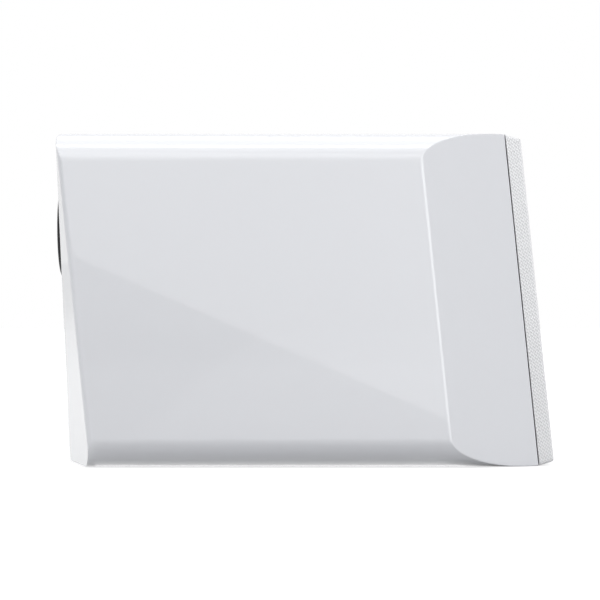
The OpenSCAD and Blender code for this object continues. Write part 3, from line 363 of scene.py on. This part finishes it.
split = threadWeave.nodes.new("ShaderNodeSeparateXYZ")
threadWeave.links.new(start.outputs["Map"], split.inputs[0])
across = mathNode(threadWeave, "DIVIDE", split.outputs["X"], start.outputs["Pitch"])
along = mathNode(threadWeave, "DIVIDE", split.outputs["Y"], start.outputs["Pitch"])
warpRound = threadRound(across)
weftRound = threadRound(along)
# warp and weft take turns to lie on top
stepSum = mathNode(threadWeave, "ADD", mathNode(threadWeave, "FLOOR", across),
                   mathNode(threadWeave, "FLOOR", along))
warpTurn = mathNode(threadWeave, "MODULO", mathNode(threadWeave, "ABSOLUTE", stepSum), 2.0)
weftTurn = mathNode(threadWeave, "SUBTRACT", 1.0, warpTurn)
lift = mathNode(threadWeave, "ADD", mathNode(threadWeave, "MULTIPLY", warpRound, warpTurn),
                mathNode(threadWeave, "MULTIPLY", weftRound, weftTurn))
fibre = noiseNode(threadWeave, start.outputs["Map"], threadShape["fibreScale"], 2.0)
# painted shade: the colour darkens towards the threads' edges and in the pores between them, where the dark
# behind the cloth also shows through
covered = mathNode(threadWeave, "MULTIPLY", warpRound, weftRound)
covered = mathNode(threadWeave, "POWER", covered, threadShape["poreShadeFade"])
tone = tintNode(threadWeave, covered, start.outputs["Poreshade"], start.outputs["Thread"])
# painted highlight: the colour lightens where a thread lies on top
tone = tintNode(threadWeave, mathNode(threadWeave, "MULTIPLY", lift, fibre), tone, start.outputs["Crest"])
threadWeave.links.new(tone, end.inputs["Colour"])
threadWeave.links.new(mathNode(threadWeave, "MULTIPLY_ADD", fibre, threadShape["fibreRise"], lift),
                      end.inputs["Height"])

# what a finish has where it says nothing else, with depth and softEdge in metres
plainLook = {"grain": 900.0, "cloud": 18.0, "bump": 0.2, "depth": 0.0002, "metal": 0.0, "spec": 0.5,
             "coat": 0.0, "coatRough": 0.03, "sheen": 0.0, "softEdge": 0.0}
finishes = {
    "white_lacquer": {"dark": (0.690, 0.698, 0.728), "light": (0.705, 0.712, 0.742), "rough": (0.26, 0.32),
                      "grain": 700.0, "cloud": 6.0, "bump": 0.05, "depth": 0.00003, "coat": 1.0,
                      "softEdge": 0.0009},
    "black_board": {"dark": (0.010, 0.010, 0.011), "light": (0.022, 0.022, 0.024), "rough": (0.45, 0.6),
                    "grain": 1200.0, "bump": 0.25, "depth": 0.0001, "spec": 0.2},
    "raw_board": {"dark": (0.30, 0.20, 0.12), "light": (0.45, 0.32, 0.20), "rough": (0.75, 0.9),
                  "grain": 1500.0, "bump": 0.4, "depth": 0.0001},
    "wadding": {"dark": (0.62, 0.60, 0.56), "light": (0.80, 0.79, 0.75), "rough": (0.9, 1.0),
                "grain": 600.0, "cloud": 60.0, "bump": 1.0, "depth": 0.0012, "sheen": 0.5},
    "black_plastic": {"dark": (0.014, 0.014, 0.015), "light": (0.026, 0.026, 0.028), "rough": (0.38, 0.5),
                      "grain": 2200.0, "bump": 0.5, "depth": 0.00008, "spec": 0.35},
    "port_plastic": {"dark": (0.008, 0.008, 0.009), "light": (0.016, 0.016, 0.018), "rough": (0.50, 0.60),
                     "grain": 2600.0, "bump": 0.3, "depth": 0.00006, "spec": 0.12},
    "black_rubber": {"dark": (0.010, 0.010, 0.010), "light": (0.020, 0.020, 0.020), "rough": (0.55, 0.68),
                     "grain": 1600.0, "bump": 0.25, "depth": 0.0001, "spec": 0.35},
    "gold_brass": {"dark": (0.72, 0.50, 0.18), "light": (0.85, 0.62, 0.26), "rough": (0.16, 0.26),
                   "grain": 2000.0, "bump": 0.05, "metal": 1.0},
    "red_plastic": {"dark": (0.42, 0.010, 0.012), "light": (0.52, 0.016, 0.018), "rough": (0.28, 0.36),
                    "grain": 1500.0, "bump": 0.1},
    "knob_black": {"dark": (0.012, 0.012, 0.013), "light": (0.024, 0.024, 0.026), "rough": (0.28, 0.36),
                   "grain": 1500.0, "bump": 0.1},
    "zinc_steel": {"dark": (0.50, 0.51, 0.53), "light": (0.64, 0.65, 0.66), "rough": (0.28, 0.42),
                   "grain": 1000.0, "bump": 0.1, "metal": 1.0},
    "black_steel": {"dark": (0.020, 0.020, 0.021), "light": (0.040, 0.040, 0.042), "rough": (0.30, 0.42),
                    "grain": 1400.0, "bump": 0.15, "metal": 0.6},
    "board_green": {"dark": (0.010, 0.10, 0.035), "light": (0.018, 0.15, 0.055), "rough": (0.25, 0.35),
                    "bump": 0.1},
    "copper": {"dark": (0.55, 0.20, 0.08), "light": (0.78, 0.34, 0.16), "rough": (0.22, 0.34),
               "grain": 1800.0, "bump": 0.3, "metal": 1.0},
    "capacitor_film": {"dark": (0.50, 0.36, 0.05), "light": (0.62, 0.46, 0.08), "rough": (0.22, 0.32),
                       "grain": 700.0, "bump": 0.15},
    "cement": {"dark": (0.55, 0.54, 0.50), "light": (0.70, 0.69, 0.65), "rough": (0.8, 0.95),
               "grain": 1400.0, "bump": 0.5, "depth": 0.0001},
    "basket_metal": {"dark": (0.016, 0.016, 0.017), "light": (0.032, 0.032, 0.034), "rough": (0.42, 0.55),
                     "grain": 1800.0, "bump": 0.4, "depth": 0.00006, "spec": 0.3},
    "ferrite": {"dark": (0.045, 0.045, 0.048), "light": (0.075, 0.075, 0.078), "rough": (0.55, 0.75),
                "grain": 1300.0, "bump": 0.35, "depth": 0.0001},
    "cone_black": {"dark": (0.014, 0.014, 0.015), "light": (0.045, 0.045, 0.048), "rough": (0.40, 0.58),
                   "cloud": 160.0, "bump": 0.6, "depth": 0.00015, "spec": 0.3},
    "spider_cloth": {"dark": (0.40, 0.29, 0.12), "light": (0.56, 0.42, 0.20), "rough": (0.8, 0.92),
                     "grain": 1500.0, "bump": 0.5, "depth": 0.00015},
    "dome_silver": {"dark": (0.62, 0.62, 0.63), "light": (0.74, 0.74, 0.75), "rough": (0.22, 0.30),
                    "grain": 1200.0, "bump": 0.05, "metal": 1.0},
    "grille_plastic": {"dark": (0.016, 0.016, 0.017), "light": (0.028, 0.028, 0.030), "rough": (0.4, 0.5),
                       "grain": 1800.0, "bump": 0.3, "depth": 0.00008, "spec": 0.3},
    "lead_sleeve": {"dark": (0.015, 0.015, 0.016), "light": (0.028, 0.028, 0.030), "rough": (0.4, 0.5),
                    "grain": 1500.0, "bump": 0.1},
}
# the darkest of the cloth colours is painted shade in the pores and at the threads' edges, and the lightest is
# a painted highlight on the threads' tops
clothLook = {"pitch": 0.0015, "depth": 0.00045, "turn": 37.0, "bump": 0.55, "rough": 0.85, "sheen": 0.35,
             "poreshade": (0.58, 0.58, 0.60), "thread": (0.84, 0.84, 0.85), "crest": (0.94, 0.94, 0.95)}


def newPaint(name, effectTree, look, colours):
    material = bpy.data.materials.new(name)
    material.use_nodes = True
    tree = material.node_tree
    shader = tree.nodes["Principled BSDF"]
    effect = tree.nodes.new("ShaderNodeGroup")
    effect.node_tree = effectTree
    for colour in colours:
        effect.inputs[colour.capitalize()].default_value = (*look[colour], 1)
    tree.links.new(effect.outputs["Colour"], shader.inputs["Base Color"])
    bump = bumpNode(tree, effect.outputs["Height"], look["bump"], look["depth"])
    tree.links.new(bump.outputs[0], shader.inputs["Normal"])
    shader.inputs["Sheen Weight"].default_value = look["sheen"]
    return material, tree, shader, effect, bump


def grainFinish(name, own):
    look = {**plainLook, **own}
    material, tree, shader, effect, bump = newPaint(name, surfaceGrain, look, ("dark", "light"))
    spot = tree.nodes.new("ShaderNodeTexCoord").outputs["Object"]
    tree.links.new(spot, effect.inputs["Place"])
    effect.inputs["Grain Scale"].default_value = look["grain"]
    effect.inputs["Cloud Scale"].default_value = look["cloud"]
    effect.inputs["Smooth"].default_value, effect.inputs["Rough"].default_value = look["rough"]
    tree.links.new(effect.outputs["Roughness"], shader.inputs["Roughness"])
    shader.inputs["Metallic"].default_value = look["metal"]
    shader.inputs["Specular IOR Level"].default_value = look["spec"]
    shader.inputs["Coat Weight"].default_value = look["coat"]
    shader.inputs["Coat Roughness"].default_value = look["coatRough"]
    if look["softEdge"]:
        # lacquer rounds the edges a little
        softEdge = tree.nodes.new("ShaderNodeBevel")
        softEdge.samples = 8
        softEdge.inputs["Radius"].default_value = look["softEdge"]
        tree.links.new(softEdge.outputs[0], bump.inputs["Normal"])
        tree.links.new(softEdge.outputs[0], shader.inputs["Coat Normal"])
    return material


def weaveFinish(name, look):
    material, tree, shader, effect, _ = newPaint(name, threadWeave, look, ("poreshade", "thread", "crest"))
    ownMap = tree.nodes.new("ShaderNodeUVMap")
    ownMap.uv_map = "flatMap"
    turn = tree.nodes.new("ShaderNodeMapping")
    turn.inputs["Rotation"].default_value = (0, 0, math.radians(look["turn"]))
    tree.links.new(ownMap.outputs[0], turn.inputs["Vector"])
    tree.links.new(turn.outputs[0], effect.inputs["Map"])
    effect.inputs["Pitch"].default_value = look["pitch"]
    shader.inputs["Roughness"].default_value = look["rough"]
    return material


paints = {slot: grainFinish(slot, look) for slot, look in finishes.items()}
paints["grille_cloth"] = weaveFinish("grille_cloth", clothLook)
slotOf = {row["node"]: row["material_slot"] for row in frame["record"]["subparts"]}
for name, item in nodes.items():
    item.data.materials.clear()
    item.data.materials.append(paints[slotOf[name]])

# cloth over the grille frame
print("stage: grille cloth")
cloth = {
    "thickness": 0.45,       # mm
    "hem": 5.0,
    "topBevel": 3.3,         # how far each edge comes in from back to front
    "bottomBevel": 1.5,
    "endBevel": 2.5,
    "edgeRound": 1.6,
    "roundSteps": 4,
    "shadeAngle": 35,
}
halfW, halfH = cabinet["halfWidth"], cabinet["halfHeight"]
backZ = cabinet["gap"]
frontZ = backZ + cabinet["grilleDepth"]
high = 2 * halfH - cloth["topBevel"] - cloth["bottomBevel"]
wide = 2 * (halfW - cloth["endBevel"])
midY = (cloth["bottomBevel"] - cloth["topBevel"]) / 2
clearSelection()
bpy.ops.mesh.primitive_plane_add(size=1.0, location=(0, 0, 0))
grilleCloth = bpy.context.object
grilleCloth.name = "grilleCloth"
for corner in grilleCloth.data.vertices:
    corner.co = (corner.co.x * wide * mm, (corner.co.y * high + midY) * mm, frontZ * mm)
bpy.ops.object.mode_set(mode="EDIT")
bpy.ops.mesh.select_mode(type="EDGE")
bpy.ops.mesh.select_all(action="SELECT")
# the sides go back to the frame's rear face, and the hem turns in behind it
bpy.ops.mesh.extrude_edges_move(TRANSFORM_OT_translate={"value": (0, 0, -cabinet["grilleDepth"] * mm)})
bpy.ops.transform.resize(value=(2 * halfW / wide, 2 * halfH / high, 1),
                         center_override=(0, midY * mm, backZ * mm))
bpy.ops.transform.translate(value=(0, -midY * mm, 0))
bpy.ops.mesh.extrude_edges_move(TRANSFORM_OT_translate={"value": (0, 0, 0)})
hemScale = ((halfW - cloth["hem"]) / halfW, (halfH - cloth["hem"]) / halfH, 1)
bpy.ops.transform.resize(value=hemScale, center_override=(0, 0, backZ * mm))
# the cloth bends over the edges round its front and down its corners
bpy.ops.object.mode_set(mode="OBJECT")
middleZ = (frontZ + backZ) / 2 * mm
for edge in grilleCloth.data.edges:
    edge.select = max(grilleCloth.data.vertices[index].co.z for index in edge.vertices) > middleZ
bpy.ops.object.mode_set(mode="EDIT")
bpy.ops.mesh.bevel(offset=cloth["edgeRound"] * mm, segments=cloth["roundSteps"], profile=0.5,
                   clamp_overlap=True)
bpy.ops.object.mode_set(mode="OBJECT")
# a flat map in metres that runs on round the edges
flatMap = grilleCloth.data.uv_layers.new(name="flatMap")
for face in grilleCloth.data.polygons:
    for loop in face.loop_indices:
        spot = grilleCloth.data.vertices[grilleCloth.data.loops[loop].vertex_index].co
        fall = frontZ * mm - spot.z
        turnX = fall * math.copysign(1, face.normal.x) if abs(face.normal.x) > 0.5 else 0
        turnY = fall * math.copysign(1, face.normal.y) if abs(face.normal.y) > 0.5 else 0
        flatMap.data[loop].uv = (spot.x + turnX, spot.y + turnY)
grilleCloth.data.materials.append(paints["grille_cloth"])
skinToWall(grilleCloth, cloth["thickness"], -1.0)
freeze(grilleCloth, onFront())
shadeSmooth(grilleCloth, cloth["shadeAngle"])
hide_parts("grille_cloth")
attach(grilleCloth, "grille")

# rubber and cloth rings that bend with each cone
print("stage: surrounds and spiders")
suspension = {
    "segments": 96,
    "flangeTop": -1.5,       # mm, from the front plane
    "coneEdge": 49.0,
    "roll": 4.6,
    "rollSteps": 12,
    "rubber": 0.7,
    "land": 4.0,
    "glueLand": 3.0,
    "landStill": 0.3,        # at each end of the roll
    "formerEdge": 13.15,
    "formerStill": 0.5,
    "spiderLand": 34.0,
    "spiderEdge": 39.0,
    "spiderHeight": -28.1,
    "spiderWave": 0.7,
    "waves": 5,
    "waveSteps": 8,          # in each wave
    "waveRise": 6,           # the waves start and end over a sixth of the way
    "spiderCloth": 0.6,
    "shadeAngle": 50,
}


def pressedRing(name, rings, thickness):
    # one round edge is extruded through the rings of (radius, height), then given its thickness
    clearSelection()
    radius, height = rings[0]
    bpy.ops.mesh.primitive_circle_add(vertices=suspension["segments"], radius=radius * mm,
                                      location=(0, 0, height * mm))
    piece = bpy.context.object
    piece.name = name
    freeze(piece)
    bpy.ops.object.mode_set(mode="EDIT")
    bpy.ops.mesh.select_mode(type="EDGE")
    bpy.ops.mesh.select_all(action="SELECT")
    for nextRadius, nextHeight in rings[1:]:
        rise = (nextHeight - height) * mm
        bpy.ops.mesh.extrude_edges_move(TRANSFORM_OT_translate={"value": (0, 0, rise)})
        scale = nextRadius / radius
        bpy.ops.transform.resize(value=(scale, scale, 1), center_override=(0, 0, nextHeight * mm))
        radius, height = nextRadius, nextHeight
    skinToWall(piece, thickness, 0.0)
    shadeSmooth(piece, suspension["shadeAngle"])
    return piece


def bendWithCone(piece, node, side, inner, outer):
    # the inner edge follows the cone and the outer edge stays with the cabinet
    x = cabinet["wooferX"] * mm * (-1 if side == "left" else 1)
    reach = [math.hypot(v.co.x, v.co.y) / mm for v in piece.data.vertices]
    freeze(piece, onFront(x))
    piece.data.materials.append(paints[slotOf[node]])
    centre = onFront(x) @ Vector((0, 0, 0))
    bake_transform(piece, "cabinet", side + "_diaphragm", start=centre + Vector((outer * mm, 0, 0)), end=centre)
    follow = piece.data.attributes["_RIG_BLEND"]
    for index, r in enumerate(reach):
        share = min(1, max(0, (outer - r) / (outer - inner)))
        follow.data[index].value = share * share * (3 - 2 * share)
    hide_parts(node)


rollMid = suspension["coneEdge"] + suspension["roll"]
rollEnd = rollMid + suspension["roll"]
rubberMid = suspension["flangeTop"] + suspension["rubber"] / 2
surroundRings = [(suspension["coneEdge"] - suspension["glueLand"], rubberMid)]
for step in range(suspension["rollSteps"] + 1):
    turn = math.pi * (1 - step / suspension["rollSteps"])
    surroundRings.append((rollMid + suspension["roll"] * math.cos(turn),
                          rubberMid + suspension["roll"] * math.sin(turn)))
surroundRings.append((rollEnd - suspension["rubber"] / 2 + suspension["land"], rubberMid))

spiderRings = []
waveSteps = suspension["waves"] * suspension["waveSteps"]
for step in range(waveSteps + 1):
    share = step / waveSteps
    radius = suspension["formerEdge"] + (suspension["spiderLand"] - suspension["formerEdge"]) * share
    calm = min(1, suspension["waveRise"] * share, suspension["waveRise"] * (1 - share))
    wave = math.sin(share * suspension["waves"] * 2 * math.pi)
    spiderRings.append((radius, suspension["spiderHeight"] + suspension["spiderWave"] * calm * wave))
spiderRings.append((suspension["spiderEdge"], suspension["spiderHeight"]))

for side in ("left", "right"):
    ring = pressedRing(side + "Surround", surroundRings, suspension["rubber"])
    bendWithCone(ring, side + "_surround", side, suspension["coneEdge"] + suspension["landStill"],
                 rollEnd - suspension["landStill"])
    ring = pressedRing(side + "Spider", spiderRings, suspension["spiderCloth"])
    bendWithCone(ring, side + "_spider", side, suspension["formerEdge"] + suspension["formerStill"],
                 suspension["spiderLand"])

# wadding behind the woofers
print("stage: wadding")
wadding = {
    "corner": 6.0,           # mm
    "cornerSteps": 3,
    "cuts": 14,
    "crown": 3.0,            # how far the top falls towards its edges
    "tufts": 1.6,
    "tuftTurnX": 210,        # radians in a metre
    "tuftTurnY": 190,
    "waist": 2.8,            # narrower half way up, across the pad's y
    "shadeAngle": 60,
}
for side in ("left", "right"):
    low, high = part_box(side + "_damping_pad")
    size = [high[i] - low[i] for i in range(3)]
    middle = [(high[i] + low[i]) / 2 for i in range(3)]
    clearSelection()
    bpy.ops.mesh.primitive_cube_add(size=1.0, location=middle, scale=size)
    pad = bpy.context.object
    pad.name = side + "Wadding"
    freeze(pad)
    bpy.ops.object.mode_set(mode="EDIT")
    bpy.ops.mesh.select_all(action="SELECT")
    bpy.ops.mesh.bevel(offset=wadding["corner"] * mm, segments=wadding["cornerSteps"], profile=0.5,
                       clamp_overlap=True)
    bpy.ops.mesh.subdivide(number_cuts=wadding["cuts"])
    bpy.ops.object.mode_set(mode="OBJECT")
    tuftStart = 1 if side == "left" else 0
    for corner in pad.data.vertices:
        # the edges pull in and the top is lightly tufted, inside the solid's own space
        u = (corner.co.x - middle[0]) / size[0] * 2
        v = (corner.co.y - middle[1]) / size[1] * 2
        top = (corner.co.z - low[2]) / size[2]
        edge = max(abs(u), abs(v)) ** 4
        tuft = (math.sin(corner.co.x * wadding["tuftTurnX"] + tuftStart)
                * math.sin(corner.co.y * wadding["tuftTurnY"]))
        corner.co.z -= top * (wadding["crown"] * edge + wadding["tufts"] * (0.5 + 0.5 * tuft)) * mm
        waist = 1 - wadding["waist"] * mm / size[1] * (1 - abs(2 * top - 1))
        corner.co.x = middle[0] + (corner.co.x - middle[0]) * waist
        corner.co.y = middle[1] + (corner.co.y - middle[1]) * waist
    shadeSmooth(pad, wadding["shadeAngle"])
    pad.data.materials.append(paints["wadding"])
    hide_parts(side + "_damping_pad")
    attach(pad, "cabinet")

# leads inside the cabinet
print("stage: leads")
leads = {
    "radius": 1.2,           # mm
    "roundness": 3,          # points added in each half of the outline
    "steps": 8,              # between two of the points below
    "shadeAngle": 50,
    "routes": {
        "left_lead": [(-47, 34.4, 23), (-47, 34.4, 39.6), (-64, 29.4, 55), (-87, 0.4, 57.6),
                      (-97, -50.3, 62.8), (-110.4, -92.8, 67.2)],
        "tweeter_lead": [(0, 14.8, 23), (0, 13.6, 39.6), (0, -54.8, 53.2), (0, -83.7, 66.3),
                         (0, -93.5, 67.3)],
        "input_lead": [(0, 91.4, 23), (0, 91.4, 39.6), (9.53, 79.8, 80.5), (9.53, 89.9, 90.4),
                       (9.53, 94.9, 90.4)],
    },
}
leads["routes"]["right_lead"] = [(-x, y, z) for x, y, z in leads["routes"]["left_lead"]]


def smoothRoute(points, steps):
    # an even curve through every point
    spots = [Vector(point) * mm for point in points]
    ends = [2 * spots[0] - spots[1]] + spots + [2 * spots[-1] - spots[-2]]
    route = []
    for index in range(1, len(ends) - 2):
        a, b, c, d = ends[index - 1:index + 3]
        for step in range(steps):
            t = step / steps
            route.append(0.5 * (2 * b + (c - a) * t + (2 * a - 5 * b + 4 * c - d) * t * t
                                + (3 * b - a - 3 * c + d) * t ** 3))
    return route + [spots[-1]]


for name, points in leads["routes"].items():
    route = smoothRoute(points, leads["steps"])
    curve = bpy.data.curves.new(name + "Sleeve", "CURVE")
    curve.dimensions = "3D"
    curve.bevel_depth = leads["radius"] * mm
    curve.bevel_resolution = leads["roundness"]
    curve.use_fill_caps = True
    line = curve.splines.new("POLY")
    line.points.add(len(route) - 1)
    for point, spot in zip(line.points, route):
        point.co = (*spot, 1)
    sleeve = bpy.data.objects.new(name + "Sleeve", curve)
    bpy.context.collection.objects.link(sleeve)
    choose(sleeve)
    bpy.ops.object.convert(target="MESH")
    sleeve = bpy.context.object
    shadeSmooth(sleeve, leads["shadeAngle"])
    sleeve.data.materials.append(paints["lead_sleeve"])
    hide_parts(name)
    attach(sleeve, "cabinet")
